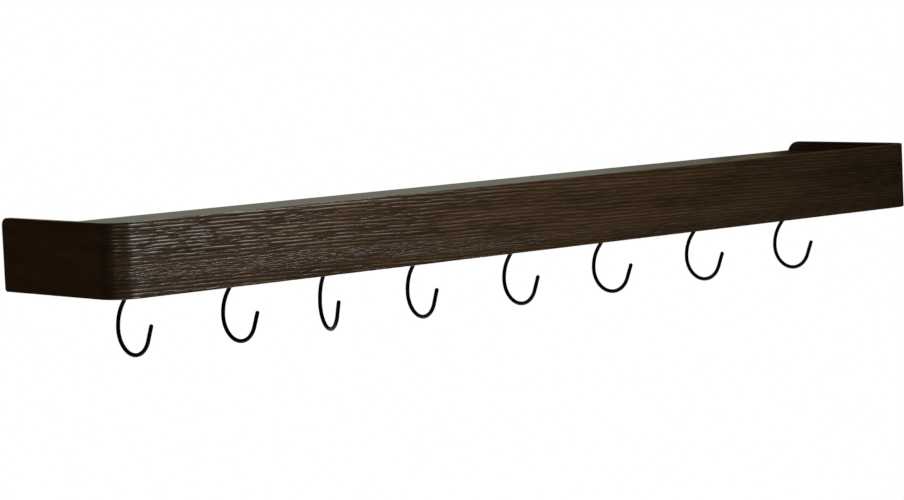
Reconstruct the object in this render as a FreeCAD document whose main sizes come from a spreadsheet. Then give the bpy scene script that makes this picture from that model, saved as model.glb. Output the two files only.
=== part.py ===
"""Wall coat rack: a moulded oak band with a let-in shelf, and wire hooks that slide and swivel below it.

X runs along the rack, +Y points into the wall and +Z up. The origin is on the wall plane, midway along
the rack, at the height of the wall batten's screw holes.
"""

import FreeCAD, Part
import math
import os

import Sketcher

# The driving sizes, in millimetres, angles in degrees, and shares of another size
SIZES = {
    # Moulded band: front, two upright bends and two sides in one piece
    "band_length": 1200.0,
    "band_depth": 206.0,
    "band_height": 78.0,
    "band_thickness": 7.0,
    "bend_radius": 30.0,
    "upper_left_corner_radius": 8.5,
    "upper_right_corner_radius": 18.0,
    "lower_corner_radius": 4.0,
    "band_edge_radius": 0.8,
    # Shelf board, let in below the band's top edge
    "shelf_recess": 11.5,
    "shelf_thickness": 12.0,
    "glue_line": 0.1,
    # Beech cleats in the corner under the shelf
    "cleat_width": 12.0,
    "cleat_height": 12.0,
    "cleat_chamfer": 2.0,
    "cleat_bend_gap": 28.0,
    # Hanging rail and wall batten, which hook together on a bevel
    "rail_thickness": 16.0,
    "bevel_angle": 45.0,
    "batten_length": 1100.0,
    "batten_rise": 4.0,
    "batten_back_share": 0.4,
    "batten_hole_height": 10.0,
    "batten_hole_spacing": 406.4,
    "batten_hole_diameter": 5.5,
    "batten_sink_diameter": 10.5,
    "sink_angle": 90.0,
    # Beech dowels between the hanging rail and the shelf
    "dowel_diameter": 8.0,
    "dowel_in_rail": 9.0,
    "dowel_in_shelf": 8.0,
    "dowel_end_gap": 0.5,
    "dowel_row_share": 0.86,
    # Slotted channel for the gliders
    "channel_width": 18.0,
    "channel_height": 12.0,
    "channel_wall": 1.6,
    "channel_slot": 7.0,
    "channel_from_wall": 89.0,
    "channel_end_gap": 1.0,
    # Plugs in the channel's ends
    "stop_depth": 14.0,
    "stop_flange": 1.0,
    "stop_clearance": 0.2,
    # Wood screws
    "screw_diameter": 3.5,
    "screw_clearance": 0.05,
    "screw_point_share": 0.6,
    "cleat_screw_length": 19.0,
    "cleat_screw_head": 7.0,
    "cleat_screw_inset": 30.0,
    "channel_screw_length": 11.0,
    "channel_screw_head": 7.5,
    "channel_screw_head_height": 1.6,
    "channel_screw_row_share": 0.92,
    # Gliders, one for each hook
    "glider_length": 18.0,
    "glider_height": 5.6,
    "glider_corner_radius": 3.0,
    "glider_side_clearance": 0.3,
    "glider_lift": 0.2,
    "glider_neck_clearance": 0.3,
    "glider_collar_diameter": 13.0,
    "glider_collar_height": 2.6,
    "glider_collar_chamfer": 0.8,
    # How far a cut runs past the piece that it cuts
    "cut_overrun": 1.0,
    # Hooks of round wire: an upset head, a shank, a bent neck, a wide back, a loop and a leaning tip
    "wire_diameter": 4.5,
    "swivel_clearance": 0.08,
    "hook_head_diameter": 8.0,
    "hook_head_height": 2.0,
    "hook_head_play": 0.3,
    "hook_head_lift": 0.1,
    "hook_drop": 93.8,
    "loop_radius": 26.5,
    "back_radius": 42.0,
    "neck_bend_radius": 10.0,
    "neck_lean_angle": 38.0,
    "tip_length": 19.0,
    "tip_lean_angle": 22.0,
    "tip_round_share": 0.48,
}

# Where each hook hangs, as a share of the band's length from its middle, and how far it is turned
HOOK_SHARES = (-0.4178, -0.3025, -0.1995, -0.0884, 0.0364, 0.1578, 0.287, 0.4176)
HOOK_TURNS = (2.4, 3.5, -17.2, -4.7, 1.6, 7.2, 4.2, 5.4)

SIDE_COUNT = 2
FRONT_SCREW_COUNT = 5
SIDE_SCREW_COUNT = 2
CHANNEL_SCREW_COUNT = 5
DOWEL_COUNT = 6
BATTEN_HOLE_COUNT = 3

# Sizes and levels that several pieces share, worked out from the driving sizes
INNER_LENGTH = "(Sizes.band_length - 2 * Sizes.band_thickness)"
INNER_RADIUS = "(Sizes.bend_radius - Sizes.band_thickness)"
BAND_BOTTOM = "(-Sizes.batten_rise - Sizes.batten_hole_height)"
SHELF_TOP = f"({BAND_BOTTOM} + Sizes.band_height - Sizes.shelf_recess)"
SHELF_UNDERSIDE = f"({SHELF_TOP} - Sizes.shelf_thickness)"
BEVEL_RISE = "(Sizes.rail_thickness * tan(Sizes.bevel_angle * 1deg))"
BATTEN_BOTTOM = f"({BAND_BOTTOM} + Sizes.batten_rise)"
BATTEN_BACK_HEIGHT = f"(({SHELF_UNDERSIDE} - {BATTEN_BOTTOM}) * Sizes.batten_back_share)"
BATTEN_BACK_TOP = f"({BATTEN_BOTTOM} + {BATTEN_BACK_HEIGHT})"
DOWEL_LINE = "(Sizes.rail_thickness / 2)"
DOWEL_ROW = f"({INNER_LENGTH} * Sizes.dowel_row_share)"
CLEAT_MIDDLE = "(Sizes.glue_line + Sizes.cleat_width / 2)"
FRONT_CLEAT_LENGTH = f"({INNER_LENGTH} - 2 * Sizes.cleat_bend_gap)"
SIDE_CLEAT_LENGTH = (
    "(Sizes.band_depth - Sizes.band_thickness - Sizes.cleat_bend_gap"
    " - Sizes.rail_thickness - Sizes.glue_line)"
)
FRONT_SCREW_ROW = f"({FRONT_CLEAT_LENGTH} - 2 * Sizes.cleat_screw_inset)"
SIDE_SCREW_ROW = f"({SIDE_CLEAT_LENGTH} - 2 * Sizes.cleat_screw_inset)"
CHANNEL_LENGTH = (
    f"({INNER_LENGTH} - 2 * Sizes.glue_line - 2 * Sizes.cleat_width"
    " - 2 * Sizes.stop_flange - 2 * Sizes.channel_end_gap)"
)
CHANNEL_SCREW_ROW = f"({CHANNEL_LENGTH} * Sizes.channel_screw_row_share)"
CHANNEL_INSIDE = "(Sizes.channel_width - 2 * Sizes.channel_wall)"
CHANNEL_LIP_TOP = f"({SHELF_UNDERSIDE} - Sizes.channel_height + Sizes.channel_wall)"
SCREW_HOLE = "(Sizes.screw_diameter / 2 + Sizes.screw_clearance)"
GLIDER_UNDERSIDE = f"({CHANNEL_LIP_TOP} + Sizes.glider_lift)"
GLIDER_NECK = "(Sizes.channel_wall + 2 * Sizes.glider_lift)"
GLIDER_BOTTOM = f"(-{GLIDER_NECK} - Sizes.glider_collar_height)"
HEAD_SEAT = "(Sizes.glider_height - Sizes.hook_head_height - 2 * Sizes.hook_head_lift)"

# Lines that pieces stand on, and each set of equal holes: its first place, and the axis, length and number
# of holes of its row or of its two crossing rows
CLEAT_UNDERSIDE = f"({SHELF_UNDERSIDE} - Sizes.cleat_height)"
FRONT_CLEAT_LINE = f"(Sizes.band_thickness + {CLEAT_MIDDLE} - Sizes.band_depth)"
SIDE_CLEAT_LINE = f"({INNER_LENGTH} / 2 - {CLEAT_MIDDLE})"
SIDE_CLEAT_CENTRE = f"(-Sizes.rail_thickness - Sizes.glue_line - {SIDE_CLEAT_LENGTH} / 2)"
CHANNEL_LINE = "(-Sizes.channel_from_wall)"
FIRST_FRONT_SCREW = (f"(-{FRONT_SCREW_ROW} / 2)", FRONT_CLEAT_LINE)
FRONT_SCREW_GRID = ("X_Axis", FRONT_SCREW_ROW, FRONT_SCREW_COUNT)
FIRST_SIDE_SCREW = (f"(-{SIDE_CLEAT_LINE})", f"({SIDE_CLEAT_CENTRE} - {SIDE_SCREW_ROW} / 2)")
ONE_SIDE_SCREW_GRID = ("Y_Axis", SIDE_SCREW_ROW, SIDE_SCREW_COUNT)
SIDE_SCREW_GRID = ("X_Axis", f"(2 * {SIDE_CLEAT_LINE})", SIDE_COUNT, *ONE_SIDE_SCREW_GRID)
FIRST_CHANNEL_SCREW = (f"(-{CHANNEL_SCREW_ROW} / 2)", CHANNEL_LINE)
CHANNEL_SCREW_GRID = ("X_Axis", CHANNEL_SCREW_ROW, CHANNEL_SCREW_COUNT)
FIRST_DOWEL = (f"(-{DOWEL_ROW} / 2)", f"(-{DOWEL_LINE})")
DOWEL_GRID = ("X_Axis", DOWEL_ROW, DOWEL_COUNT)
BATTEN_HOLE_ROW = f"({BATTEN_HOLE_COUNT - 1} * Sizes.batten_hole_spacing)"
BATTEN_HOLE_GRID = ("X_Axis", BATTEN_HOLE_ROW, BATTEN_HOLE_COUNT)

doc = FreeCAD.newDocument("wall_coat_rack")
sheet = doc.addObject("Spreadsheet::Sheet", "Sizes")


def fill_sheet():
    """Write every driving size into the sheet, each under its own name."""
    rows = dict(SIZES)
    for order, (share, turn) in enumerate(zip(HOOK_SHARES, HOOK_TURNS), start=1):
        rows[f"hook_place_{order}_share"] = share
        rows[f"hook_turn_{order}_angle"] = turn
    for row, (name, size) in enumerate(rows.items(), start=1):
        sheet.set(f"A{row}", name)
        sheet.set(f"B{row}", str(size))
        sheet.setAlias(f"B{row}", name)
    doc.recompute()


def number(size):
    """The plain number that an expression gives with the sheet's present sizes."""
    answer = sheet.evalExpression(size)
    return float(getattr(answer, "Value", answer))


def new_body(label):
    """A sub-part, whose label is also the name of its file."""
    body = doc.addObject("PartDesign::Body", label)
    body.Label = label
    return body


def origin_feature(body, role):
    """One of the body's own origin planes or axes."""
    return next(item for item in body.Origin.OriginFeatures if item.Role == role)


def new_sketch(body, name, plane):
    """A sketch on one of the body's own origin planes."""
    sketch = body.newObject("Sketcher::SketchObject", f"{body.Label}_{name}")
    sketch.AttachmentSupport = (origin_feature(body, plane), "")
    sketch.MapMode = "FlatFace"
    return sketch


def bind(sketch, constraint, size):
    """Add a dimension to a sketch and bind it to the sheet."""
    index = sketch.addConstraint(constraint)
    sketch.setExpression(f"Constraints[{index}]", size)


def pin_point(sketch, item, point, across, up):
    """Place a point of the sketch by its two distances from the origin."""
    for kind, axis, size in (("DistanceX", -2, across), ("DistanceY", -1, up)):
        distance = number(size)
        if distance > 0:
            bind(sketch, Sketcher.Constraint(kind, -1, 1, item, point, distance), size)
        elif distance < 0:
            bind(sketch, Sketcher.Constraint(kind, item, point, -1, 1, -distance), f"-({size})")
        else:
            sketch.addConstraint(Sketcher.Constraint("PointOnObject", item, point, axis))


def draw_polygon(sketch, corners):
    """A closed outline of straight lines, each corner given by two expressions."""
    spots = [FreeCAD.Vector(number(across), number(up), 0) for across, up in corners]
    first = sketch.GeometryCount
    for start, end in zip(spots, spots[1:] + spots[:1]):
        sketch.addGeometry(Part.LineSegment(start, end), False)
    for item, (across, up) in enumerate(corners):
        following = first + (item + 1) % len(corners)
        sketch.addConstraint(Sketcher.Constraint("Coincident", first + item, 2, following, 1))
        pin_point(sketch, first + item, 1, across, up)


def draw_rectangle(sketch, length, width):
    """A rectangle about the sketch's origin."""
    right, top = f"({length} / 2)", f"({width} / 2)"
    left, bottom = f"(-{length} / 2)", f"(-{width} / 2)"
    draw_polygon(sketch, [(left, bottom), (right, bottom), (right, top), (left, top)])


def draw_circle(sketch, across, up, radius):
    """A circle whose centre and radius are bound to the sheet."""
    centre = FreeCAD.Vector(number(across), number(up), 0)
    item = sketch.addGeometry(Part.Circle(centre, FreeCAD.Vector(0, 0, 1), number(radius)), False)
    pin_point(sketch, item, 3, across, up)
    bind(sketch, Sketcher.Constraint("Radius", item, number(radius)), radius)


def extrude(body, kind, sketch, length, reversed_way=False, both_ways=False):
    """Pad or pocket a sketch by a length from the sheet."""
    feature = body.newObject(f"PartDesign::{kind}", f"{sketch.Name}_{kind.lower()}")
    feature.Profile = sketch
    feature.setExpression("Length", length)
    feature.Reversed = reversed_way
    feature.Midplane = both_ways
    sketch.Visibility = False
    return feature


def turn_profile(body, kind, sketch):
    """Revolve or groove a sketch all the way round the body's Z axis."""
    feature = body.newObject(f"PartDesign::{kind}", f"{sketch.Name}_{kind.lower()}")
    feature.Profile = sketch
    feature.ReferenceAxis = (sketch, ["V_Axis"])
    feature.Angle = 360
    sketch.Visibility = False
    return feature


def repeat_along(body, feature, axis, row_length, count, axis_2=None, row_length_2=None, count_2=1):
    """Repeat a feature in a row, or in a grid of two rows, and make that the body's result."""
    pattern = body.newObject("PartDesign::LinearPattern", f"{feature.Name}_row")
    pattern.Originals = [feature]
    pattern.Direction = (origin_feature(body, axis), [""])
    pattern.setExpression("Length", row_length)
    pattern.Occurrences = count
    if axis_2:
        pattern.Direction2 = (origin_feature(body, axis_2), [""])
        pattern.setExpression("Length2", row_length_2)
        pattern.Occurrences2 = count_2
    body.Tip = pattern
    return pattern


def soften(body, kind, name, size, chosen):
    """Fillet or chamfer the edges of the body's last feature for which chosen(edge) is true."""
    doc.recompute()
    base = body.Tip
    edges = [f"Edge{place}" for place, edge in enumerate(base.Shape.Edges, start=1) if chosen(edge)]
    feature = body.newObject(f"PartDesign::{kind}", f"{body.Label}_{name}")
    feature.Base = (base, edges)
    feature.setExpression("Radius" if kind == "Fillet" else "Size", size)
    return feature


def near(one, other):
    """True if two lengths are the same to a thousandth."""
    return abs(one - other) < 1e-3


def runs_along(edge, axis):
    """True for an edge that is parallel to an axis, which is 0, 1 or 2 for X, Y or Z."""
    box = edge.BoundBox
    return near((box.XLength, box.YLength, box.ZLength)[axis], edge.Length)


def place(body, across="0", deep="0", up="0", turn=None):
    """Put a sub-part in the rack, by expressions for its three distances and its turn about Z."""
    for axis, size in (("x", across), ("y", deep), ("z", up)):
        body.setExpression(f".Placement.Base.{axis}", size)
    if turn:
        body.setExpression(".Placement.Rotation.Angle", turn)
    return body


def make_band():
    """Front and both sides in one moulded piece, with its bends and rounded rear corners."""
    band = new_body("moulded_band")
    plan = new_sketch(band, "plan", "XY_Plane")
    outer, inner = "(Sizes.band_length / 2)", f"({INNER_LENGTH} / 2)"
    front, behind_front = "(-Sizes.band_depth)", "(Sizes.band_thickness - Sizes.band_depth)"
    right_half = [(outer, front), (outer, "0"), (inner, "0"), (inner, behind_front)]
    left_half = [(f"(-{across})", deep) for across, deep in reversed(right_half)]
    draw_polygon(plan, right_half + left_half)
    extrude(band, "Pad", plan, "Sizes.band_height")

    def in_bend(edge, level):
        return runs_along(edge, 2) and near(edge.CenterOfMass.y, number(level))

    def at_rear_corner(edge, height):
        centre = edge.CenterOfMass
        return runs_along(edge, 0) and near(centre.y, 0) and near(centre.z, number(height))

    def upper_left(edge):
        return at_rear_corner(edge, "Sizes.band_height") and edge.CenterOfMass.x < 0

    def upper_right(edge):
        return at_rear_corner(edge, "Sizes.band_height") and edge.CenterOfMass.x > 0

    def on_rim(edge):
        across_rim = runs_along(edge, 0) and near(edge.Length, number("Sizes.band_thickness"))
        in_face = runs_along(edge, 2) and not near(edge.CenterOfMass.y, 0)
        return not across_rim and not in_face

    soften(band, "Fillet", "outer_bends", "Sizes.bend_radius", lambda edge: in_bend(edge, front))
    soften(band, "Fillet", "inner_bends", INNER_RADIUS, lambda edge: in_bend(edge, behind_front))
    soften(band, "Fillet", "upper_left", "Sizes.upper_left_corner_radius", upper_left)
    soften(band, "Fillet", "upper_right", "Sizes.upper_right_corner_radius", upper_right)
    soften(band, "Fillet", "lower", "Sizes.lower_corner_radius", lambda edge: at_rear_corner(edge, "0"))
    soften(band, "Fillet", "eased_edges", "Sizes.band_edge_radius", on_rim)
    return place(band, up=BAND_BOTTOM)


def drill_row(body, name, plane_height, spot, radius, depth, grid, upwards):
    """Blind holes in a row or grid, drilled up or down from a level of the body."""
    sketch = new_sketch(body, name, "XY_Plane")
    sketch.setExpression(".AttachmentOffset.Base.z", plane_height)
    draw_circle(sketch, *spot, radius)
    hole = extrude(body, "Pocket", sketch, depth, reversed_way=upwards)
    return repeat_along(body, hole, *grid)


def make_shelf():
    """The shelf board, rounded to fit the band's bends, with blind holes in its underside."""
    shelf = new_body("shelf_board")
    plan = new_sketch(shelf, "plan", "XY_Plane")
    side = f"({INNER_LENGTH} / 2 - Sizes.glue_line)"
    front = "(Sizes.band_thickness + Sizes.glue_line - Sizes.band_depth)"
    draw_polygon(plan, [(f"(-{side})", front), (side, front), (side, "0"), (f"(-{side})", "0")])
    extrude(shelf, "Pad", plan, "Sizes.shelf_thickness")
    soften(
        shelf, "Fillet", "bends", f"({INNER_RADIUS} - Sizes.glue_line)",
        lambda edge: runs_along(edge, 2) and near(edge.CenterOfMass.y, number(front)),
    )
    for name, spot, radius, depth, grid in shelf_holes():
        drill_row(shelf, name, "0", spot, radius, depth, grid, upwards=True)
    return place(shelf, up=SHELF_UNDERSIDE)


def shelf_holes():
    """Name, first place, radius, depth and grid of each set of holes in the shelf's underside."""
    cleat_hole = "(Sizes.cleat_screw_length - Sizes.cleat_height + Sizes.screw_clearance)"
    channel_hole = (
        "(Sizes.channel_screw_length - Sizes.channel_wall - Sizes.channel_screw_head_height"
        " + Sizes.screw_clearance)"
    )
    dowel_radius = "(Sizes.dowel_diameter / 2 + Sizes.screw_clearance)"
    dowel_depth = "(Sizes.dowel_in_shelf + Sizes.dowel_end_gap)"
    return (
        ("front_cleat_holes", FIRST_FRONT_SCREW, SCREW_HOLE, cleat_hole, FRONT_SCREW_GRID),
        ("side_cleat_holes", FIRST_SIDE_SCREW, SCREW_HOLE, cleat_hole, SIDE_SCREW_GRID),
        ("channel_holes", FIRST_CHANNEL_SCREW, SCREW_HOLE, channel_hole, CHANNEL_SCREW_GRID),
        ("dowel_holes", FIRST_DOWEL, dowel_radius, dowel_depth, DOWEL_GRID),
    )


def make_cleat(label, length, width, grid, free_edge):
    """A beech strip with countersunk holes from below and a chamfer on its free lower edge."""
    cleat = new_body(label)
    plan = new_sketch(cleat, "plan", "XY_Plane")
    draw_rectangle(plan, length, width)
    extrude(cleat, "Pad", plan, "Sizes.cleat_height")
    soften(cleat, "Chamfer", "free_edge", "Sizes.cleat_chamfer", free_edge)
    axis, row = grid[:2]
    first = f"(-{row} / 2)"
    spot = (first, "0") if axis == "X_Axis" else ("0", first)
    sketch = new_sketch(cleat, "screw_hole", "XY_Plane")
    draw_circle(sketch, *spot, SCREW_HOLE)
    hole = countersunk_hole(cleat, sketch, f"(2 * {SCREW_HOLE})", "Sizes.cleat_screw_head", True)
    repeat_along(cleat, hole, *grid)
    return cleat


def countersunk_hole(body, sketch, diameter, sink_diameter, reversed_way):
    """A hole right through, with a countersink where it starts."""
    doc.recompute()
    hole = body.newObject("PartDesign::Hole", f"{sketch.Name}_hole")
    hole.Profile = sketch
    hole.Reversed = reversed_way
    hole.DepthType = "ThroughAll"
    hole.HoleCutType = "Countersink"
    hole.HoleCutCustomValues = True
    hole.setExpression("Diameter", diameter)
    hole.setExpression("HoleCutDiameter", sink_diameter)
    hole.setExpression("HoleCutCountersinkAngle", "Sizes.sink_angle")
    sketch.Visibility = False
    return hole


def make_cleats():
    """The front cleat behind the band's front, and one along each side."""

    def lower_rear(edge):
        return runs_along(edge, 0) and near(edge.CenterOfMass.z, 0) and edge.CenterOfMass.y > 0

    front = make_cleat(
        "front_cleat", FRONT_CLEAT_LENGTH, "Sizes.cleat_width", FRONT_SCREW_GRID, lower_rear
    )
    place(front, deep=FRONT_CLEAT_LINE, up=CLEAT_UNDERSIDE)
    for label, sign in (("left_side_cleat", -1), ("right_side_cleat", 1)):

        def lower_inner(edge):
            inward = -sign * edge.CenterOfMass.x > 0
            return runs_along(edge, 1) and near(edge.CenterOfMass.z, 0) and inward

        side = make_cleat(
            label, "Sizes.cleat_width", SIDE_CLEAT_LENGTH, ONE_SIDE_SCREW_GRID, lower_inner
        )
        place(side, f"({sign} * {SIDE_CLEAT_LINE})", SIDE_CLEAT_CENTRE, CLEAT_UNDERSIDE)


def make_hanging_rail():
    """The bevelled rail under the shelf's rear edge, with dowel holes in its top."""
    rail = new_body("hanging_rail")
    section = new_sketch(rail, "section", "YZ_Plane")
    top = f"({SHELF_UNDERSIDE} - {BATTEN_BACK_TOP})"
    room_side = "(-Sizes.rail_thickness)"
    draw_polygon(section, [("0", "0"), ("0", top), (room_side, top), (room_side, BEVEL_RISE)])
    extrude(rail, "Pad", section, f"({INNER_LENGTH} - 2 * Sizes.glue_line)", both_ways=True)
    drill_row(
        rail, "dowel_holes", top, FIRST_DOWEL, "(Sizes.dowel_diameter / 2 + Sizes.screw_clearance)",
        "(Sizes.dowel_in_rail + Sizes.dowel_end_gap)", DOWEL_GRID, upwards=False,
    )
    return place(rail, up=BATTEN_BACK_TOP)


def make_wall_batten():
    """The batten on the wall, with countersunk holes for the wall's screws."""
    batten = new_body("wall_batten")
    section = new_sketch(batten, "section", "YZ_Plane")
    room_side = "(-Sizes.rail_thickness)"
    draw_polygon(
        section,
        [
            ("0", "0"),
            ("0", BATTEN_BACK_HEIGHT),
            (room_side, f"({BATTEN_BACK_HEIGHT} + {BEVEL_RISE})"),
            (room_side, "0"),
        ],
    )
    extrude(batten, "Pad", section, "Sizes.batten_length", both_ways=True)
    front = new_sketch(batten, "wall_screw_hole", "XZ_Plane")
    front.setExpression(".AttachmentOffset.Base.z", "Sizes.rail_thickness")
    draw_circle(
        front, f"(-{BATTEN_HOLE_ROW} / 2)", "Sizes.batten_hole_height",
        "(Sizes.batten_hole_diameter / 2)",
    )
    hole = countersunk_hole(
        batten, front, "Sizes.batten_hole_diameter", "Sizes.batten_sink_diameter", False
    )
    repeat_along(batten, hole, *BATTEN_HOLE_GRID)
    return place(batten, up=BATTEN_BOTTOM)


def make_dowels():
    """The row of beech dowels, half in the hanging rail and half in the shelf."""
    dowels = new_body("shelf_dowels")
    end = new_sketch(dowels, "end", "XY_Plane")
    draw_circle(end, "0", "0", "(Sizes.dowel_diameter / 2)")
    dowel = extrude(dowels, "Pad", end, "(Sizes.dowel_in_rail + Sizes.dowel_in_shelf)")
    repeat_along(dowels, dowel, *DOWEL_GRID)
    across, deep = FIRST_DOWEL
    return place(dowels, across, deep, f"({SHELF_UNDERSIDE} - Sizes.dowel_in_rail)")


def make_screws(label, half_profile, grid, spot, up):
    """A row or grid of equal screws that point upwards, made by revolving one half profile."""
    screws = new_body(label)
    profile = new_sketch(screws, "profile", "XZ_Plane")
    draw_polygon(profile, half_profile)
    screw = turn_profile(screws, "Revolution", profile)
    repeat_along(screws, screw, *grid)
    return place(screws, *spot, up)


def make_all_screws():
    """The cleats' countersunk screws and the channel's flat-headed ones."""
    shank = "(Sizes.screw_diameter / 2)"
    head = "(Sizes.cleat_screw_head / 2)"
    point = "(Sizes.cleat_screw_length - Sizes.screw_diameter * Sizes.screw_point_share)"
    countersunk = [
        ("0", "0"), (head, "0"), (shank, f"({head} - {shank})"), (shank, point),
        ("0", "Sizes.cleat_screw_length"),
    ]
    make_screws("front_cleat_screws", countersunk, FRONT_SCREW_GRID, FIRST_FRONT_SCREW, CLEAT_UNDERSIDE)
    make_screws("side_cleat_screws", countersunk, SIDE_SCREW_GRID, FIRST_SIDE_SCREW, CLEAT_UNDERSIDE)
    head, under_head = "(Sizes.channel_screw_head / 2)", "Sizes.channel_screw_head_height"
    point = "(Sizes.channel_screw_length - Sizes.screw_diameter * Sizes.screw_point_share)"
    flat_headed = [
        ("0", "0"), (f"({head} - {under_head} / 2)", "0"), (head, f"({under_head} / 2)"),
        (head, under_head), (shank, under_head), (shank, point), ("0", "Sizes.channel_screw_length"),
    ]
    channel_roof = f"({SHELF_UNDERSIDE} - Sizes.channel_wall - {under_head})"
    make_screws(
        "hook_rail_screws", flat_headed, CHANNEL_SCREW_GRID, FIRST_CHANNEL_SCREW, channel_roof
    )


def make_hook_rail():
    """The slotted channel that the gliders run in, with screw holes in its roof."""
    rail = new_body("hook_rail")
    section = new_sketch(rail, "section", "YZ_Plane")
    side, slot = "(Sizes.channel_width / 2)", "(Sizes.channel_slot / 2)"
    inside, roof = f"({CHANNEL_INSIDE} / 2)", "(Sizes.channel_height - Sizes.channel_wall)"
    wall = "Sizes.channel_wall"
    right_half = [
        (side, "Sizes.channel_height"), (side, "0"), (slot, "0"), (slot, wall), (inside, wall),
        (inside, roof),
    ]
    left_half = [(f"(-{across})", up) for across, up in reversed(right_half)]
    draw_polygon(section, right_half + left_half)
    extrude(rail, "Pad", section, CHANNEL_LENGTH, both_ways=True)
    drill_row(
        rail, "screw_holes", roof, (FIRST_CHANNEL_SCREW[0], "0"), SCREW_HOLE,
        "(Sizes.channel_wall + Sizes.cut_overrun)", CHANNEL_SCREW_GRID, upwards=True,
    )
    return place(rail, deep=CHANNEL_LINE, up=f"({SHELF_UNDERSIDE} - Sizes.channel_height)")


def make_end_stops():
    """The plugs that close the channel: a block inside it and a flange over its end."""
    for label, sign, turn in (("left_end_stop", -1, "180"), ("right_end_stop", 1, "0")):
        stop = new_body(label)
        block = new_sketch(stop, "block", "YZ_Plane")
        width = f"({CHANNEL_INSIDE} - 2 * Sizes.stop_clearance)"
        height = "(Sizes.channel_height - 2 * Sizes.channel_wall - 2 * Sizes.stop_clearance)"
        draw_rectangle(block, width, height)
        extrude(stop, "Pad", block, "Sizes.stop_depth", reversed_way=True)
        flange = new_sketch(stop, "flange", "YZ_Plane")
        draw_rectangle(flange, "Sizes.channel_width", "Sizes.channel_height")
        extrude(stop, "Pad", flange, "Sizes.stop_flange")
        middle = f"({SHELF_UNDERSIDE} - Sizes.channel_height / 2)"
        place(stop, f"({sign} * {CHANNEL_LENGTH} / 2)", CHANNEL_LINE, middle, turn)


def make_glider(order):
    """A slider: a block in the channel, a neck through its slot, a collar below and a stepped bore."""
    glider = new_body(f"glider_{order}")
    plan = new_sketch(glider, "plan", "XY_Plane")
    width = f"({CHANNEL_INSIDE} - 2 * Sizes.glider_side_clearance)"
    draw_rectangle(plan, "Sizes.glider_length", width)
    extrude(glider, "Pad", plan, "Sizes.glider_height")
    soften(
        glider, "Fillet", "corners", "Sizes.glider_corner_radius",
        lambda edge: runs_along(edge, 2),
    )
    neck = "(Sizes.channel_slot / 2 - Sizes.glider_neck_clearance)"
    collar = "(Sizes.glider_collar_diameter / 2)"
    stem = new_sketch(glider, "stem", "XZ_Plane")
    draw_polygon(
        stem,
        [
            ("0", "0"), (neck, "0"), (neck, f"(-{GLIDER_NECK})"), (collar, f"(-{GLIDER_NECK})"),
            (collar, f"({GLIDER_BOTTOM} + Sizes.glider_collar_chamfer)"),
            (f"({collar} - Sizes.glider_collar_chamfer)", GLIDER_BOTTOM), ("0", GLIDER_BOTTOM),
        ],
    )
    turn_profile(glider, "Revolution", stem)
    bore = "(Sizes.wire_diameter / 2 + Sizes.swivel_clearance)"
    head_bore = "(Sizes.hook_head_diameter / 2 + Sizes.hook_head_play)"
    below, above = f"({GLIDER_BOTTOM} - Sizes.cut_overrun)", "(Sizes.glider_height + Sizes.cut_overrun)"
    bores = new_sketch(glider, "bores", "XZ_Plane")
    draw_polygon(
        bores,
        [
            ("0", below), (bore, below), (bore, HEAD_SEAT), (head_bore, HEAD_SEAT),
            (head_bore, above), ("0", above),
        ],
    )
    turn_profile(glider, "Groove", bores)
    return place(glider, hook_place(order), CHANNEL_LINE, GLIDER_UNDERSIDE)


def hook_place(order):
    """Where a hook and its glider hang along the rack."""
    return f"(Sizes.band_length * Sizes.hook_place_{order}_share)"


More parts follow.
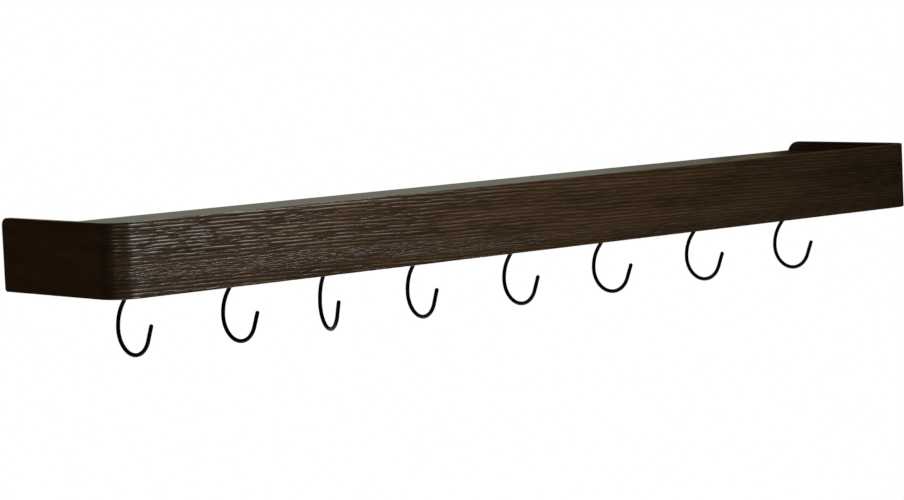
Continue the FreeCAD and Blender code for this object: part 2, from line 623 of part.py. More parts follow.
def draw_hook_line(sketch):
    """The wire's centre line: shank, neck bend, leaning straight, wide back, loop and leaning tip."""
    loop, back = number("Sizes.loop_radius"), number("Sizes.back_radius")
    neck, drop, tip = (number(f"Sizes.{name}") for name in ("neck_bend_radius", "hook_drop", "tip_length"))
    lean, tip_lean = (math.radians(number(f"Sizes.{name}_lean_angle")) for name in ("neck", "tip"))
    back_start = loop - back * (1 - math.cos(lean))
    straight = (back_start - neck * (1 - math.cos(lean))) / math.sin(lean)
    shank = drop - (back + neck) * math.sin(lean) - straight * math.cos(lean)
    up = FreeCAD.Vector(0, 0, 1)
    neck_circle = Part.Circle(FreeCAD.Vector(neck, -shank, 0), up, neck)
    back_circle = Part.Circle(FreeCAD.Vector(loop - back, -drop, 0), up, back)
    loop_circle = Part.Circle(FreeCAD.Vector(0, -drop, 0), up, loop)
    neck_arc = Part.ArcOfCircle(neck_circle, math.pi, math.pi + lean)
    back_arc = Part.ArcOfCircle(back_circle, 0, lean)
    loop_arc = Part.ArcOfCircle(loop_circle, math.pi + tip_lean, 2 * math.pi)
    tip_start = loop_arc.StartPoint
    tip_reach = FreeCAD.Vector(-tip * math.sin(tip_lean), tip * math.cos(tip_lean), 0)
    pieces = (
        Part.LineSegment(FreeCAD.Vector(0, 0, 0), neck_arc.StartPoint),
        neck_arc,
        Part.LineSegment(neck_arc.EndPoint, back_arc.EndPoint),
        back_arc,
        loop_arc,
        Part.LineSegment(tip_start, tip_start + tip_reach),
    )
    shank_line, neck_bend, lean_line, back_bend, loop_bend, tip_line = (
        sketch.addGeometry(piece, False) for piece in pieces
    )
    for constraint in (
        Sketcher.Constraint("Coincident", shank_line, 1, -1, 1),
        Sketcher.Constraint("Vertical", shank_line),
        Sketcher.Constraint("Tangent", shank_line, 2, neck_bend, 1),
        Sketcher.Constraint("Tangent", neck_bend, 2, lean_line, 1),
        Sketcher.Constraint("Tangent", lean_line, 2, back_bend, 2),
        Sketcher.Constraint("Tangent", back_bend, 1, loop_bend, 2),
        Sketcher.Constraint("Horizontal", back_bend, 3, loop_bend, 3),
        Sketcher.Constraint("Tangent", loop_bend, 1, tip_line, 1),
        Sketcher.Constraint("PointOnObject", loop_bend, 3, -2),
    ):
        sketch.addConstraint(constraint)
    bind(sketch, Sketcher.Constraint("Radius", neck_bend, neck), "Sizes.neck_bend_radius")
    bind(sketch, Sketcher.Constraint("Radius", back_bend, back), "Sizes.back_radius")
    bind(sketch, Sketcher.Constraint("Radius", loop_bend, loop), "Sizes.loop_radius")
    bind(sketch, Sketcher.Constraint("DistanceY", loop_bend, 3, -1, 1, drop), "Sizes.hook_drop")
    bind(sketch, Sketcher.Constraint("Distance", tip_line, tip), "Sizes.tip_length")
    bind(
        sketch,
        Sketcher.Constraint("Angle", lean_line, lean - math.pi / 2),
        "(Sizes.neck_lean_angle - 90)",
    )
    bind(
        sketch,
        Sketcher.Constraint("Angle", tip_line, tip_lean + math.pi / 2),
        "(Sizes.tip_lean_angle + 90)",
    )
    return tip_line


def make_hook(order):
    """A wire hook: its wire swept along the centre line, an upset head on top and a rounded tip."""
    hook = new_body(f"hook_{order}")
    line = new_sketch(hook, "line", "YZ_Plane")
    tip_line = draw_hook_line(line)
    wire = new_sketch(hook, "wire", "XY_Plane")
    draw_circle(wire, "0", "0", "(Sizes.wire_diameter / 2)")
    doc.recompute()
    sweep = hook.newObject("PartDesign::AdditivePipe", f"{hook.Label}_sweep")
    sweep.Profile = wire
    sweep.Spine = (line, [f"Edge{place}" for place in range(1, line.GeometryCount + 1)])
    tip_end = line.Geometry[tip_line].EndPoint

    def at_tip(edge):
        return near(edge.CenterOfMass.y, tip_end.x) and near(edge.CenterOfMass.z, tip_end.y)

    soften(hook, "Fillet", "tip", "(Sizes.wire_diameter * Sizes.tip_round_share)", at_tip)
    head = new_sketch(hook, "head", "XY_Plane")
    draw_circle(head, "0", "0", "(Sizes.hook_head_diameter / 2)")
    extrude(hook, "Pad", head, "Sizes.hook_head_height")
    return place(
        hook, hook_place(order), CHANNEL_LINE,
        f"({GLIDER_UNDERSIDE} + {HEAD_SEAT} + Sizes.hook_head_lift)",
        f"Sizes.hook_turn_{order}_angle",
    )


def check_and_export():
    """Stop if anything failed, then write each sub-part to its own file."""
    doc.recompute()
    failed = [item.Label for item in doc.Objects if {"Invalid", "Error"} & set(item.State)]
    if failed:
        raise RuntimeError(f"these failed to build: {failed}")
    bodies = [item for item in doc.Objects if item.TypeId == "PartDesign::Body"]
    for body in bodies:
        if body.Shape.isNull() or not body.Shape.isValid() or not body.Shape.Solids:
            raise RuntimeError(f"{body.Label} has no sound solid")
    os.makedirs("parts", exist_ok=True)
    for body in bodies:
        body.Shape.exportStep(f"parts/{body.Label}.step")
        print(f"{body.Label}: {len(body.Shape.Solids)} solids, {body.Shape.Volume:.1f} mm3")


fill_sheet()
make_band()
make_shelf()
make_cleats()
make_hanging_rail()
make_wall_batten()
make_dowels()
make_all_screws()
make_hook_rail()
make_end_stops()
for order in range(1, len(HOOK_SHARES) + 1):
    make_glider(order)
    make_hook(order)
check_and_export()
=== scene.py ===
"""Looks of a wall coat rack: a moulded oak band with a let-in shelf, and wire hooks below it.

Lengths are in metres, in the rack's own frame: X along the rack, +Y into the wall, +Z up. Values whose
names end in mm are in millimetres.
"""
import math

import bmesh
import bpy
from mathutils import Matrix, Vector


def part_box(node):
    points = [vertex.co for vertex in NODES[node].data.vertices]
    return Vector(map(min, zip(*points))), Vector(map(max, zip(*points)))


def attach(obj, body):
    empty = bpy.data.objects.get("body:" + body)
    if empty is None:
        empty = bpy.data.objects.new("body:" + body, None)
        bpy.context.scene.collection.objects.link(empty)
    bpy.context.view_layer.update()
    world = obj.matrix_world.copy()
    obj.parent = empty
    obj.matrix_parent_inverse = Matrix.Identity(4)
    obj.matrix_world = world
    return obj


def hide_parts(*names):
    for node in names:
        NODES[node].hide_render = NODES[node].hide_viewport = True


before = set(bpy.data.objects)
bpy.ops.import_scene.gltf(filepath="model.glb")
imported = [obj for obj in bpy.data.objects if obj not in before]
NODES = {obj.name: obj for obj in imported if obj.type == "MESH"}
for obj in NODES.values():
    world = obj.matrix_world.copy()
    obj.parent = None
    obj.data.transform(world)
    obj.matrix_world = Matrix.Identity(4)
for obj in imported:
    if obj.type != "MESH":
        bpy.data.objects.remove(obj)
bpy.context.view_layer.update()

MM = 0.001
HOOKS = range(1, 9)
SCENE = bpy.context.scene
SCENE.view_settings.view_transform = "Standard"

# The camera stood far to the left of the rack and a little above it. Its turns are in degrees: first to
# the right, then down, then rolled.
CAMERA_PLACE = (-2.4117, -2.8524, 0.2985)
CAMERA_TURNS = (40.43, 4.938, -2.515)
LENS_MM = 127.42
SENSOR_MM = 36

# The band's outside bends. Glued veneers are really 1.4 mm thick, and are drawn thicker so that they
# show from where the cameras stand.
BAND_LOW, BAND_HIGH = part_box("moulded_band")
BEND_RADIUS = 30 * MM
VENEER_MM = 2.3

# How squarely a surface has to face up, down or the wall to count as one of the band's sawn rims, and
# how squarely it has to face the room or the wall to count as a face of the plywood
RIM_FACING = 0.75
PLY_FACING = 0.9

# The oak leaf's growth rings climb a little along it. A slow bow and short waves shift them by at most
# so many rings, and the faintest ridge keeps this share of the strongest.
GRAIN_SLOPE = 0.018
BOW_RINGS = 3.5
WAVE_RINGS = 0.35
FAINTEST_RIDGE = 0.85

# The leaf is cut flat near its heart, which lies this many rings up. There fine pores take most of the
# ridges' place, and that fades out between two distances, in rings.
HEART_RING = 1.8
PORES_FADE_START = 1.5
PORES_FADE_END = 2.5
PORES_SHARE = 0.8

# How light the stain is, from 0 to 1: what slow patches and the ridges' crests add, and where it starts.
# The crests' share is partly stain held in the open pores and partly painted shade in the hollows
# between the ridges.
PATCH_LIGHT = 0.9
CREST_STAIN_AND_SHADE = 0.34
START_LIGHT = -0.08

# Once the band has turned this far sideways, as a share, its relief sinks, to this share of the front's.
# The crests' lighter colour sinks with it, so the sides are painted plainer and darker than the front:
# painted shade.
CALM_TURN = 0.8
CALM_SHARE = 0.35


# Camera

def aim_camera():
    """The camera at the photograph's place and angle."""
    yaw, pitch, roll = (math.radians(angle) for angle in CAMERA_TURNS)
    ahead = Vector((math.sin(yaw) * math.cos(pitch), math.cos(yaw) * math.cos(pitch), -math.sin(pitch)))
    level_right = Vector((math.cos(yaw), -math.sin(yaw), 0))
    level_up = level_right.cross(ahead)
    right = level_right * math.cos(roll) + level_up * math.sin(roll)
    up = level_up * math.cos(roll) - level_right * math.sin(roll)
    data = bpy.data.cameras.new("camera")
    data.sensor_width = SENSOR_MM
    data.lens = LENS_MM
    camera = bpy.data.objects.new("camera", data)
    turn = Matrix((right, up, -ahead)).transposed().to_4x4()
    camera.matrix_world = Matrix.Translation(CAMERA_PLACE) @ turn
    SCENE.collection.objects.link(camera)
    SCENE.camera = camera


aim_camera()


# What every material uses

def linear(code):
    """A colour written as an sRGB hex value, in the linear values that shaders use."""
    parts = [int(code[i:i + 2], 16) / 255 for i in (1, 3, 5)]
    return [p / 12.92 if p <= 0.04045 else ((p + 0.055) / 1.055) ** 2.4 for p in parts] + [1]


def per_metre(size_mm):
    """The scale at which a pattern has features of a real size."""
    return 1 / (size_mm * MM)


def feed(node, inputs):
    """Set a node's inputs to values, or link them to other nodes' outputs."""
    for name, value in inputs.items():
        if isinstance(value, bpy.types.NodeSocket):
            node.id_data.links.new(value, node.inputs[name])
        else:
            node.inputs[name].default_value = value


def add(tree, kind, inputs=None, **settings):
    """A new node with its settings and its inputs."""
    node = tree.nodes.new(kind)
    for name, value in settings.items():
        setattr(node, name, value)
    feed(node, inputs or {})
    return node


def stops(node, *pairs):
    """Set a colour ramp's stops, each a place and a grey level or a hex colour."""
    elements = node.color_ramp.elements
    while len(elements) < len(pairs):
        elements.new(1)
    for element, (place, level) in zip(elements, pairs):
        element.position = place
        element.color = linear(level) if isinstance(level, str) else (level, level, level, 1)
    return node.outputs["Color"]


def new_material(name):
    """A material's node tree with its surface shader already in place."""
    material = bpy.data.materials.new(name)
    material.use_nodes = True
    return material, material.node_tree, material.node_tree.nodes["Principled BSDF"]


def real_noise(tree, place, sizes_mm, detail=2.0):
    """Noise whose features have a real size along each axis."""
    scale = tuple(per_metre(size) for size in sizes_mm)
    vector = add(tree, "ShaderNodeMapping", {"Vector": place, "Scale": scale}).outputs["Vector"]
    return add(
        tree, "ShaderNodeTexNoise", {"Vector": vector, "Scale": 1.0, "Detail": detail},
    ).outputs["Fac"]


def fine_texture(name, sizes_mm, detail, dark, light, smooth, dull, relief_mm=0):
    """A material whose tone, gloss and any relief all follow one fine noise of a real size."""
    material, tree, shader = new_material(name)
    place = add(tree, "ShaderNodeTexCoord").outputs["Object"]
    texture = real_noise(tree, place, sizes_mm, detail)
    tone = add(
        tree, "ShaderNodeMix", {"Factor": texture, "A": linear(dark), "B": linear(light)},
        data_type="RGBA",
    ).outputs["Result"]
    roughness = add(
        tree, "ShaderNodeMapRange", {"Value": texture, "To Min": smooth, "To Max": dull},
    ).outputs["Result"]
    feed(shader, {"Base Color": tone, "Roughness": roughness})
    if relief_mm:
        bump = add(tree, "ShaderNodeBump", {"Height": texture, "Distance": relief_mm * MM})
        feed(shader, {"Normal": bump.outputs["Normal"]})
    return material, shader


def dress(material, *names):
    """Give CAD nodes their material."""
    for name in names:
        mesh = NODES[name].data
        mesh.materials.clear()
        mesh.materials.append(material)


# Stained oak

def oak_relief(tree, place, ring_mm):
    """How high the brushed leaf stands, from 0 to 1: latewood ridges, or pores where it is cut flat."""

    def figure(length_mm, height_mm):
        """Noise with a real length along the grain and a real height across it."""
        return real_noise(tree, place, (length_mm, length_mm, height_mm))

    # How many rings a point lies up the leaf
    spot = add(tree, "ShaderNodeSeparateXYZ", {"Vector": place}).outputs
    sloped = add(
        tree, "ShaderNodeMath", {0: spot["X"], 1: GRAIN_SLOPE, 2: spot["Z"]}, operation="MULTIPLY_ADD",
    ).outputs[0]
    level = add(
        tree, "ShaderNodeMath", {0: sloped, 1: per_metre(ring_mm)}, operation="MULTIPLY",
    ).outputs[0]
    bowed = add(
        tree, "ShaderNodeMath", {0: figure(500, 90), 1: BOW_RINGS, 2: level}, operation="MULTIPLY_ADD",
    ).outputs[0]
    wavy = add(
        tree, "ShaderNodeMath", {0: figure(70, 12), 1: WAVE_RINGS, 2: bowed}, operation="MULTIPLY_ADD",
    ).outputs[0]
    across_ring = add(tree, "ShaderNodeMath", {0: wavy}, operation="FRACT").outputs[0]
    ring = add(tree, "ShaderNodeMath", {0: wavy}, operation="FLOOR").outputs[0]

    # One ridge to a ring, each with a strength of its own and broken up into streaks
    profile = stops(
        add(tree, "ShaderNodeValToRGB", {"Fac": across_ring}),
        (0.0, 0.0), (0.3, 0.95), (0.4, 1.0), (0.6, 1.0), (0.7, 0.95), (1.0, 0.0),
    )
    lot = add(tree, "ShaderNodeTexWhiteNoise", {"W": ring}, noise_dimensions="1D").outputs["Value"]
    strength = add(
        tree, "ShaderNodeMapRange", {"Value": lot, "To Min": FAINTEST_RIDGE},
    ).outputs["Result"]
    whole = add(tree, "ShaderNodeMath", {0: profile, 1: strength}, operation="MULTIPLY").outputs[0]
    streaks = stops(add(tree, "ShaderNodeValToRGB", {"Fac": figure(18, 2.6)}), (0.36, 0.3), (0.54, 1.0))
    ridges = add(tree, "ShaderNodeMath", {0: whole, 1: streaks}, operation="MULTIPLY").outputs[0]

    # Fine pores near the heart
    pores = stops(add(tree, "ShaderNodeValToRGB", {"Fac": figure(16, 1.3)}), (0.35, 0.05), (0.65, 1.0))
    off_heart = add(tree, "ShaderNodeMath", {0: bowed, 1: HEART_RING}, operation="SUBTRACT").outputs[0]
    beside_heart = add(tree, "ShaderNodeMath", {0: off_heart}, operation="ABSOLUTE").outputs[0]
    flat_cut = add(
        tree, "ShaderNodeMapRange",
        {"Value": beside_heart, "From Min": PORES_FADE_START, "From Max": PORES_FADE_END,
         "To Min": PORES_SHARE, "To Max": 0.0},
    ).outputs["Result"]
    return add(
        tree, "ShaderNodeMix", {"Factor": flat_cut, "A": ridges, "B": pores}, data_type="FLOAT",
    ).outputs["Result"]


def calmer_shaded_sides(tree, facing, relief):
    """The relief, sunk where the surface has turned sideways. As it also sets the crests' lighter
    colour, the sides come out painted plainer and darker: painted shade.
    """
    sideways = add(tree, "ShaderNodeMath", {0: facing["X"]}, operation="ABSOLUTE").outputs[0]
    kept = add(
        tree, "ShaderNodeMapRange",
        {"Value": sideways, "From Min": CALM_TURN, "From Max": 1.0, "To Min": 1.0, "To Max": CALM_SHARE},
    ).outputs["Result"]
    return add(tree, "ShaderNodeMath", {0: relief, 1: kept}, operation="MULTIPLY").outputs[0]


def veneer_lines(tree, parts):
    """A light and a dark line for each glued veneer, by how deep a point lies in the moulded band."""
    beside = add(tree, "ShaderNodeMath", {0: parts["X"]}, operation="ABSOLUTE").outputs[0]
    past_side = add(
        tree, "ShaderNodeMath", {0: beside, 1: BAND_HIGH.x - BEND_RADIUS}, operation="SUBTRACT",
    ).outputs[0]
    past_front = add(
        tree, "ShaderNodeMath", {0: BAND_LOW.y + BEND_RADIUS, 1: parts["Y"]}, operation="SUBTRACT",
    ).outputs[0]
    corner = add(
        tree, "ShaderNodeCombineXYZ",
        {"X": add(tree, "ShaderNodeMath", {0: past_side, 1: 0.0}, operation="MAXIMUM").outputs[0],
         "Y": add(tree, "ShaderNodeMath", {0: past_front, 1: 0.0}, operation="MAXIMUM").outputs[0]},
    ).outputs["Vector"]
    out = add(tree, "ShaderNodeVectorMath", {0: corner}, operation="LENGTH").outputs["Value"]
    layers = add(
        tree, "ShaderNodeMath", {0: out, 1: per_metre(VENEER_MM)}, operation="MULTIPLY",
    ).outputs[0]
    side = add(tree, "ShaderNodeMath", {0: layers, 1: 1.0}, operation="PINGPONG").outputs[0]
    return stops(add(tree, "ShaderNodeValToRGB", {"Fac": side}), (0.4, 0.0), (0.6, 1.0))


def layered_rims(tree, solid, facing, leaf, dark, light):
    """The leaf's colour, with the stack of veneers on the sawn rims.

    The rims face up or down, or face the wall near it. End grain drinks the stain, so every second layer
    is darker there.
    """
    parts = add(tree, "ShaderNodeSeparateXYZ", {"Vector": solid["Object"]}).outputs
    upright = add(tree, "ShaderNodeMath", {0: facing["Z"]}, operation="ABSOLUTE").outputs[0]
    near_wall = add(
        tree, "ShaderNodeMath", {0: parts["Y"], 1: BAND_LOW.y / 2}, operation="GREATER_THAN",
    ).outputs[0]
    rear = add(tree, "ShaderNodeMath", {0: facing["Y"], 1: near_wall}, operation="MULTIPLY").outputs[0]
    rim = add(tree, "ShaderNodeMath", {0: upright, 1: rear}, operation="MAXIMUM").outputs[0]
    on_rim = add(tree, "ShaderNodeMath", {0: rim, 1: RIM_FACING}, operation="GREATER_THAN").outputs[0]
    stack = add(
        tree, "ShaderNodeMix",
        {"Factor": veneer_lines(tree, parts), "A": linear(dark), "B": linear(light)}, data_type="RGBA",
    ).outputs["Result"]
    return add(
        tree, "ShaderNodeMix", {"Factor": on_rim, "A": leaf, "B": stack}, data_type="RGBA",
    ).outputs["Result"]


def stained_oak(name, tilt, ring_mm, dark, light, relief_mm, smooth, dull, layered):
    """Open-grained oak veneer, wire-brushed, stained espresso brown and satin lacquered.

    The eye sees ridges of hard latewood that catch the light in long broken streaks, dark rows of open
    pores between them, and slow changes of tone along the leaf. The rows between the ridges are darker
    partly from stain held in the pores and partly from painted shade in the hollows. The grain runs
    along the rack and level round its bends. A tilt of 90 degrees lays the same figure flat, as on the
    shelf.
    """
    material, tree, shader = new_material(name)
    solid = add(tree, "ShaderNodeTexCoord").outputs
    place = add(
        tree, "ShaderNodeMapping", {"Vector": solid["Object"], "Rotation": (math.radians(tilt), 0, 0)},
    ).outputs["Vector"]
    facing = add(tree, "ShaderNodeSeparateXYZ", {"Vector": solid["Normal"]}).outputs
    # The sides' sunk relief also paints them plainer and darker than the front: painted shade
    height = calmer_shaded_sides(tree, facing, oak_relief(tree, place, ring_mm))
    crest = add(tree, "ShaderNodeMath", {0: height, 1: 2.0}, operation="POWER").outputs[0]
    patches = add(
        tree, "ShaderNodeMath",
        {0: real_noise(tree, place, (200, 200, 16)), 1: PATCH_LIGHT, 2: START_LIGHT},
        operation="MULTIPLY_ADD",
    ).outputs[0]
    # Partly stain held in the open pores and partly painted shade: the hollows between the crests come
    # out darker
    stain_and_hollow_shade = add(
        tree, "ShaderNodeMath", {0: crest, 1: CREST_STAIN_AND_SHADE, 2: patches}, operation="MULTIPLY_ADD",
        use_clamp=True,
    ).outputs[0]
    leaf = add(
        tree, "ShaderNodeMix", {"Factor": stain_and_hollow_shade, "A": linear(dark), "B": linear(light)},
        data_type="RGBA",
    ).outputs["Result"]
    if layered:
        leaf = layered_rims(tree, solid, facing, leaf, dark, light)
    roughness = add(
        tree, "ShaderNodeMapRange", {"Value": crest, "To Min": dull, "To Max": smooth},
    ).outputs["Result"]
    bump = add(tree, "ShaderNodeBump", {"Height": height, "Distance": relief_mm * MM}).outputs["Normal"]
    feed(shader, {"Base Color": leaf, "Roughness": roughness, "Normal": bump, "IOR": 1.5})
    return material


# Hidden woods

def beech():
    """Steamed beech, planed: pale pink-brown with short dark flecks all along the grain."""
    material, tree, shader = new_material("planed_beech")
    place = add(tree, "ShaderNodeTexCoord").outputs["Object"]
    tone = real_noise(tree, place, (160, 160, 9))
    specks = real_noise(tree, place, (2.5, 2.5, 0.7))
    flecks = stops(add(tree, "ShaderNodeValToRGB", {"Fac": specks}), (0.6, 0.0), (0.68, 1.0))
    wood = add(
        tree, "ShaderNodeMix", {"Factor": tone, "A": linear("#b58a62"), "B": linear("#d0a67c")},
        data_type="RGBA",
    ).outputs["Result"]
    flecked = add(
        tree, "ShaderNodeMix", {"Factor": flecks, "A": wood, "B": linear("#8f6543")}, data_type="RGBA",
    ).outputs["Result"]
    bump = add(
        tree, "ShaderNodeBump", {"Height": flecks, "Distance": 0.04 * MM}, invert=True,
    ).outputs["Normal"]
    feed(shader, {"Base Color": flecked, "Roughness": 0.55, "Normal": bump})
    return material


def birch_plywood():
    """Birch plywood, sanded and oiled: cream faces with faint grain, and edges striped by the layers."""
    material, tree, shader = new_material("birch_plywood")
    solid = add(tree, "ShaderNodeTexCoord").outputs
    grain = real_noise(tree, solid["Object"], (220, 220, 5), detail=4.0)
    face = stops(
        add(tree, "ShaderNodeValToRGB", {"Fac": grain}),
        (0.3, "#c9a67a"), (0.55, "#dcc19a"), (0.75, "#d2b185"),
    )
    inward = add(tree, "ShaderNodeSeparateXYZ", {"Vector": solid["Object"]}).outputs["Y"]
    layers = add(
        tree, "ShaderNodeMath", {0: inward, 1: per_metre(VENEER_MM)}, operation="MULTIPLY",
    ).outputs[0]
    side = add(tree, "ShaderNodeMath", {0: layers, 1: 1.0}, operation="PINGPONG").outputs[0]
    edge = stops(
        add(tree, "ShaderNodeValToRGB", {"Fac": side}), (0.42, "#a67c4f"), (0.58, "#dcc29c"),
    )
    facing = add(tree, "ShaderNodeSeparateXYZ", {"Vector": solid["Normal"]}).outputs["Y"]
    flat = add(tree, "ShaderNodeMath", {0: facing}, operation="ABSOLUTE").outputs[0]
    on_face = add(tree, "ShaderNodeMath", {0: flat, 1: PLY_FACING}, operation="GREATER_THAN").outputs[0]
    wood = add(
        tree, "ShaderNodeMix", {"Factor": on_face, "A": edge, "B": face}, data_type="RGBA",
    ).outputs["Result"]
    bump = add(tree, "ShaderNodeBump", {"Height": grain, "Distance": 0.05 * MM}).outputs["Normal"]
    feed(shader, {"Base Color": wood, "Roughness": 0.5, "Normal": bump})
    return material


# Metal and plastic

def powder_coat():
    """Steel wire with a black satin powder coat: a fine orange-peel skin with a soft sheen."""
    material, shader = fine_texture(
        "black_powder_coat", (0.8, 0.8, 0.8), detail=2.0, dark="#040404", light="#0a0a0a", smooth=0.45,
        dull=0.65, relief_mm=0.03,
    )
    feed(shader, {"Specular IOR Level": 0.15})
    return material


def anodised_aluminium():
    """Extruded aluminium, black anodised: a dark satin metal with fine die lines along its length.

    Real die lines are about 0.1 mm apart, and are drawn coarser so that they show.
    """
    material, shader = fine_texture(
        "black_anodised_aluminium", (400, 0.5, 0.5), detail=1.0, dark="#1b1c1e", light="#303134",
        smooth=0.3, dull=0.5, relief_mm=0.03,
    )
    feed(shader, {"Metallic": 1.0})
    return material


def zinc_plate():
    """Steel screws, bright zinc-plated: a cool pale metal, smooth and slightly cloudy from the bath."""
    material, shader = fine_texture(
        "zinc_plated_steel", (1.5, 1.5, 1.5), detail=3.0, dark="#a9adb2", light="#c9ccce", smooth=0.22,
        dull=0.42,
    )
    feed(shader, {"Metallic": 1.0})
    return material


def moulded_nylon():
    """Black nylon from the mould: a matt skin with an even fine grain.

    The mould's own texture is finer, and is drawn coarser so that it shows, as on the acetal.
    """
    return fine_texture(
        "black_nylon", (0.5, 0.5, 0.5), detail=3.0, dark="#0c0c0c", light="#1a1a1a", smooth=0.45,
        dull=0.65, relief_mm=0.04,
    )[0]


def moulded_acetal():
    """Black acetal from the mould: a slick skin, glossier than nylon, with faint flow marks."""
    return fine_texture(
        "black_acetal", (1.2, 1.2, 1.2), detail=3.0, dark="#0e0e0f", light="#161617", smooth=0.25,
        dull=0.4, relief_mm=0.04,
    )[0]


BAND_OAK = stained_oak(
    "stained_oak_band", tilt=0, ring_mm=3.9, dark="#20160d", light="#604930", relief_mm=0.58,
    smooth=0.18, dull=0.25, layered=True,
)
SHELF_OAK = stained_oak(
    "stained_oak_shelf", tilt=90, ring_mm=9.0, dark="#20170f", light="#48341f", relief_mm=0.03,
    smooth=0.1, dull=0.16, layered=False,
)
ZINC = zinc_plate()
dress(BAND_OAK, "moulded_band")
dress(SHELF_OAK, "shelf_board")
dress(beech(), "front_cleat", "left_side_cleat", "right_side_cleat", "shelf_dowels")
dress(birch_plywood(), "hanging_rail", "wall_batten")
dress(anodised_aluminium(), "hook_rail")
dress(moulded_nylon(), "left_end_stop", "right_end_stop")
dress(moulded_acetal(), *(f"glider_{number}" for number in HOOKS))
dress(powder_coat(), *(f"hook_{number}" for number in HOOKS))


# Wood screws with cross recesses, in the places of the plain CAD ones

SHANK_RADIUS = 1.75 * MM
HEAD_EDGE = 0.25 * MM

# Half the recess's length and width, as shares of the head's radius, and its depth as one of the head's
RECESS_ARM = 0.55
RECESS_HALF = 0.13
RECESS_DEPTH = 0.8
RECESS_TAPER = 0.6

# The point's length as a share of the screw's, and its blunt end's width as one of the shank's
POINT_LENGTH = 0.28
POINT_END = 0.12


def raise_loop(mesh, edges, shift, scale, centre):
    """Extrude a closed loop of edges, move it up, and scale it about the upright axis at a centre."""
    grown = bmesh.ops.extrude_edge_only(mesh, edges=edges)["geom"]
    points = [item for item in grown if isinstance(item, bmesh.types.BMVert)]
    bmesh.ops.translate(mesh, verts=points, vec=(0, 0, shift))
    bmesh.ops.scale(
        mesh, verts=points, vec=(scale, scale, 1), space=Matrix.Translation(-Vector(centre)),
    )
    return [item for item in grown if isinstance(item, bmesh.types.BMEdge)]


def make_screw(mesh, spot, head_radius, head_height, length):
    """One screw that points up from its head's flat face, which has a tapered cross recess."""
    arm = RECESS_ARM * head_radius
    half = RECESS_HALF * head_radius
    cross = []
    for turn in range(4):
        spin = Matrix.Rotation(turn * math.pi / 2, 3, "Z")
        for corner in ((half, half), (arm, half), (arm, -half)):
            cross.append(mesh.verts.new(Vector(spot) + spin @ Vector((*corner, 0))))
    recess = [mesh.edges.new((cross[i], cross[i - 1])) for i in range(len(cross))]
    rim = bmesh.ops.create_circle(
        mesh, segments=24, radius=head_radius, matrix=Matrix.Translation(spot),
    )["verts"]
    loop = list(dict.fromkeys(edge for point in rim for edge in point.link_edges))
    bmesh.ops.triangle_fill(mesh, edges=recess + loop, use_beauty=True)
    recess_floor = raise_loop(mesh, recess, RECESS_DEPTH * head_height, RECESS_TAPER, spot)
    bmesh.ops.contextual_create(mesh, geom=recess_floor)
    for shift, scale in (
        (HEAD_EDGE, 1.0),
        (head_height - HEAD_EDGE, SHANK_RADIUS / head_radius),
        (length * (1 - POINT_LENGTH) - head_height, 1.0),
        (length * POINT_LENGTH, POINT_END),
    ):
        loop = raise_loop(mesh, loop, shift, scale, spot)
    bmesh.ops.contextual_create(mesh, geom=loop)


def spread(low, high, count, margin):
    """Even places for a row of screws whose outer heads reach both ends of their CAD box."""
    room = high - low - 2 * margin
    return [low + margin + room * order / max(1, count - 1) for order in range(count)]


def make_screws(name, node, rows, head_radius, head_height):
    """All the screws of one CAD node as one piece: rows is how many stand along X and along Y."""
    low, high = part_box(node)
    mesh = bmesh.new()
    for x in spread(low.x, high.x, rows[0], head_radius):
        for y in spread(low.y, high.y, rows[1], head_radius):
            make_screw(mesh, (x, y, low.z), head_radius, head_height, high.z - low.z)
    bmesh.ops.recalc_face_normals(mesh, faces=mesh.faces)
    data = bpy.data.meshes.new(name)
    mesh.to_mesh(data)
    mesh.free()
    data.materials.append(ZINC)
    piece = bpy.data.objects.new(name, data)
    SCENE.collection.objects.link(piece)
    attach(piece, "rack")
    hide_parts(node)


make_screws(
    "front_cross_screws", "front_cleat_screws", (5, 1), head_radius=3.5 * MM, head_height=1.75 * MM,
)
make_screws(
    "side_cross_screws", "side_cleat_screws", (2, 2), head_radius=3.5 * MM, head_height=1.75 * MM,
)
make_screws(
    "channel_cross_screws", "hook_rail_screws", (5, 1), head_radius=3.75 * MM, head_height=1.6 * MM,
)


# Lamps

def soft_lamp(name, spot, target, size, power, beam=180, tint="#ffffff"):
    """A softbox aimed at a target: size is its width and height, beam its full angle in degrees."""
    data = bpy.data.lights.new(name, "AREA")
    data.shape = "RECTANGLE"
    data.size, data.size_y = size
    data.energy = power
    data.spread = math.radians(beam)
    data.color = linear(tint)[:3]
    lamp = bpy.data.objects.new(name, data)
    ahead = (Vector(target) - Vector(spot)).normalized()
    lamp.matrix_world = Matrix.Translation(spot) @ ahead.to_track_quat("-Z", "Y").to_matrix().to_4x4()
    lamp.visible_camera = False
    SCENE.collection.objects.link(lamp)


LEFT_END = (-0.6, -0.2, 0.0)
LEFT_SIDE = (-0.6, -0.1, 0.0)
RIGHT_SIDE = (0.6, -0.1, 0.0)

# In front: the low lamps are mirrored by the wood, and the high ones by the ridges' upper flanks, as
# silver streaks. The high key's narrow beam lets the rack fall into shade towards its right end.
soft_lamp("key", (-0.28, -1.2, -0.05), LEFT_END, size=(0.78, 0.26), power=0.25, beam=120)
soft_lamp("high_key", (0.1, -1.0, 1.1), (-0.35, -0.2, 0.0), size=(1.34, 0.8), power=5.2, beam=71)
soft_lamp("side", (-1.83, -1.06, -0.05), LEFT_END, size=(0.26, 0.36), power=0.1, tint="#fff0e0")
soft_lamp("high_side", (-1.41, -0.72, 1.15), LEFT_END, size=(0.7, 0.4), power=0.26, beam=60)

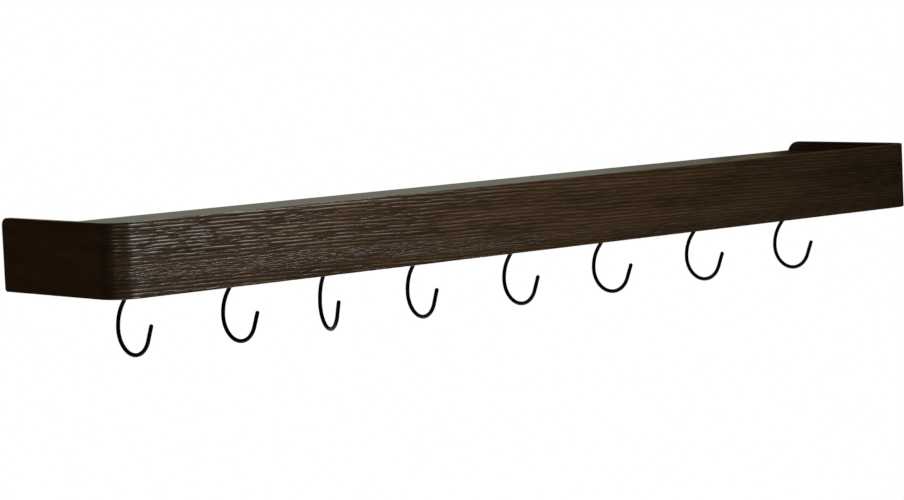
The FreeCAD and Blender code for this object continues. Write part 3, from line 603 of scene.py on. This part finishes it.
# Behind, above and below: these light the left side, the shelf, the back and the underside. Those
# behind stay below the shelf's plane, so that it doesn't mirror them.
soft_lamp("warm_back", (-1.6, 1.0, -0.9), LEFT_SIDE, size=(0.8, 0.8), power=0.7, tint="#ffb878")
soft_lamp("overhead", (0.35, 0.4, 1.9), (0.1, 0.1, 0.0), size=(2.0, 1.3), power=15)
soft_lamp("back", (0.5, 1.8, -0.75), (0.0, 0.0, 0.0), size=(2.2, 1.0), power=24)
soft_lamp("right", (1.6, 1.8, -0.6), RIGHT_SIDE, size=(1.0, 0.8), power=12)
soft_lamp("under", (0.2, 0.6, -1.5), (0.0, -0.1, 0.0), size=(2.2, 1.6), power=14)


# Floor and background

FLOOR_HEIGHT = -1.65
FLOOR_RADIUS = 6.0

# How white the floor is for the camera right below the rack, and how far out it starts and ends to fade
FLOOR_WHITE = 0.72
FADE_START = 0.6
FADE_END = 3.0

# How strongly the white room lights dull surfaces
ROOM_LIGHT = 0.02


def make_floor():
    """A plain pale floor below the hung rack, which fades into the white background."""
    mesh = bmesh.new()
    bmesh.ops.create_circle(
        mesh, cap_ends=True, segments=96, radius=FLOOR_RADIUS,
        matrix=Matrix.Translation((0, 0, FLOOR_HEIGHT)),
    )
    data = bpy.data.meshes.new("floor")
    mesh.to_mesh(data)
    mesh.free()
    material, tree, shader = new_material("pale_floor")
    feed(shader, {"Base Color": linear("#d8d8d5"), "Roughness": 0.7, "Specular IOR Level": 0.1})
    place = add(tree, "ShaderNodeTexCoord").outputs["Object"]
    flat = add(tree, "ShaderNodeVectorMath", {0: place, 1: (1, 1, 0)}, operation="MULTIPLY").outputs[0]
    away = add(tree, "ShaderNodeVectorMath", {0: flat}, operation="LENGTH").outputs["Value"]
    fade = add(
        tree, "ShaderNodeMapRange",
        {"Value": away, "From Min": FADE_START, "From Max": FADE_END, "To Min": FLOOR_WHITE},
        interpolation_type="SMOOTHSTEP",
    ).outputs["Result"]
    floor_light = shader.outputs["BSDF"]
    glow = add(tree, "ShaderNodeEmission", {"Color": (1, 1, 1, 1), "Strength": 1.0}).outputs[0]
    pale = add(tree, "ShaderNodeMixShader", {"Fac": fade, 1: floor_light, 2: glow}).outputs[0]
    clear = add(tree, "ShaderNodeBsdfTransparent").outputs[0]
    below = add(tree, "ShaderNodeNewGeometry").outputs["Backfacing"]
    seen = add(tree, "ShaderNodeMixShader", {"Fac": below, 1: pale, 2: clear}).outputs[0]
    by_camera = add(tree, "ShaderNodeLightPath").outputs["Is Camera Ray"]
    surface = add(tree, "ShaderNodeMixShader", {"Fac": by_camera, 1: floor_light, 2: seen}).outputs[0]
    feed(tree.nodes["Material Output"], {"Surface": surface})
    data.materials.append(material)
    floor = bpy.data.objects.new("floor", data)
    SCENE.collection.objects.link(floor)


make_floor()


def make_world():
    """White behind the rack for the camera, and a dim studio with a pale backdrop in reflections."""
    world = bpy.data.worlds.new("studio")
    world.use_nodes = True
    SCENE.world = world
    tree = world.node_tree
    tree.nodes.clear()
    way = add(tree, "ShaderNodeTexCoord").outputs["Generated"]
    parts = add(tree, "ShaderNodeSeparateXYZ", {"Vector": way}).outputs
    turned = add(
        tree, "ShaderNodeMath", {0: parts["X"], 1: parts["Y"]}, operation="ARCTAN2",
    ).outputs[0]

    def horizon(start, end, *pairs):
        """Colours along the horizon in degrees: 0 into the wall, 90 to the right, -90 to the left."""
        part = add(
            tree, "ShaderNodeMapRange",
            {"Value": turned, "From Min": math.radians(start), "From Max": math.radians(end)},
        ).outputs["Result"]
        places = [((degrees - start) / (end - start), colour) for degrees, colour in pairs]
        return stops(add(tree, "ShaderNodeValToRGB", {"Fac": part}), *places)

    around = horizon(
        -180, 180,
        (-60, "#120d08"), (-34, "#4e3420"), (-10, "#1c1209"), (5, "#6f6f68"), (25, "#81857a"),
    )
    # What the shelf mirrors near its right end: the backdrop's edge, and a warm dark room beyond it. A
    # ramp has only 256 steps, so these fine changes have one of their own.
    beyond = horizon(
        43, 48,
        (43.0, "#ffffff"), (43.9, "#dadada"), (45.15, "#dddddd"), (45.3, "#85888a"), (45.45, "#85888a"),
        (45.6, "#d8b0a8"), (46.15, "#ccab9c"), (46.35, "#4a3a30"), (46.6, "#2d1f17"),
    )
    backdrop = add(
        tree, "ShaderNodeMix", {"Factor": 1.0, "A": around, "B": beyond}, data_type="RGBA",
        blend_type="MULTIPLY",
    ).outputs["Result"]
    mirrored = add(tree, "ShaderNodeBackground", {"Color": backdrop, "Strength": 1.0}).outputs[0]
    dim = add(
        tree, "ShaderNodeBackground", {"Color": (1, 1, 1, 1), "Strength": ROOM_LIGHT},
    ).outputs[0]
    white = add(tree, "ShaderNodeBackground", {"Color": (1, 1, 1, 1), "Strength": 1.0}).outputs[0]
    rays = add(tree, "ShaderNodeLightPath").outputs
    shiny = add(
        tree, "ShaderNodeMath", {0: rays["Is Glossy Ray"], 1: rays["Is Transmission Ray"]},
        operation="MAXIMUM",
    ).outputs[0]
    unseen = add(tree, "ShaderNodeMixShader", {"Fac": shiny, 1: dim, 2: mirrored}).outputs[0]
    shown = add(
        tree, "ShaderNodeMixShader", {"Fac": rays["Is Camera Ray"], 1: unseen, 2: white},
    ).outputs[0]
    add(tree, "ShaderNodeOutputWorld", {"Surface": shown})


make_world()
